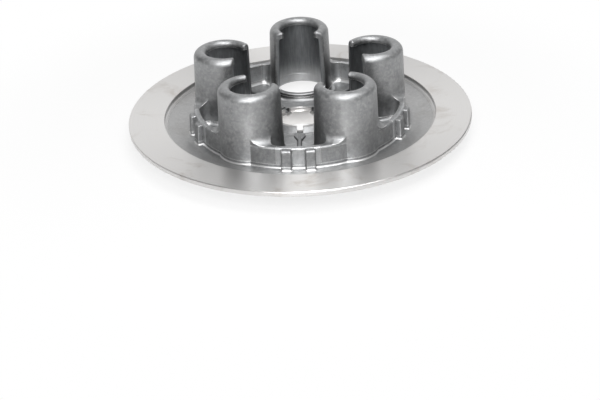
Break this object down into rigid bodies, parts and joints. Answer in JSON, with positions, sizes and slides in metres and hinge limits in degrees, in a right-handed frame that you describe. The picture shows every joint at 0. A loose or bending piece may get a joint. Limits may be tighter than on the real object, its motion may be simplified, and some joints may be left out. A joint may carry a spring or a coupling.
{
  "type": "clutch pressure plate",
  "caption": "Round cast clutch pressure plate with a flat friction ring, upright spring cups, a low ribbed skirt and a centre bore.",
  "frame": {"origin": "centre of the plate at the low edge of the hub's lip, which is the lowest point", "axes": "+Z along the plate's axis, the way the spring cups stand; +Y towards the first cup"},
  "size_m": [0.14, 0.14, 0.0342],
  "materials": {
    "machined_ring": "turned flat on the friction side, fine circular tool marks",
    "cast_aluminium": "die-cast, satin, lightly stained"
  },
  "bodies": {
    "root": {"friction_ring": "machined_ring", "web_disc": "cast_aluminium", "centre_boss": "cast_aluminium", "spring_cup_1": "cast_aluminium", "spring_cup_2": "cast_aluminium", "spring_cup_3": "cast_aluminium", "spring_cup_4": "cast_aluminium", "spring_cup_5": "cast_aluminium", "skirt_wall_1": "cast_aluminium", "skirt_wall_2": "cast_aluminium", "skirt_wall_3": "cast_aluminium", "skirt_wall_4": "cast_aluminium", "skirt_wall_5": "cast_aluminium", "web_rib_1": "cast_aluminium", "web_rib_2": "cast_aluminium", "web_rib_3": "cast_aluminium", "web_rib_4": "cast_aluminium", "web_rib_5": "cast_aluminium", "drive_rib_1": "cast_aluminium", "drive_rib_2": "cast_aluminium", "drive_rib_3": "cast_aluminium", "drive_rib_4": "cast_aluminium", "drive_rib_5": "cast_aluminium", "drive_rib_6": "cast_aluminium", "drive_rib_7": "cast_aluminium", "drive_rib_8": "cast_aluminium", "drive_rib_9": "cast_aluminium", "drive_rib_10": "cast_aluminium"}
  },
  "joints": []
}
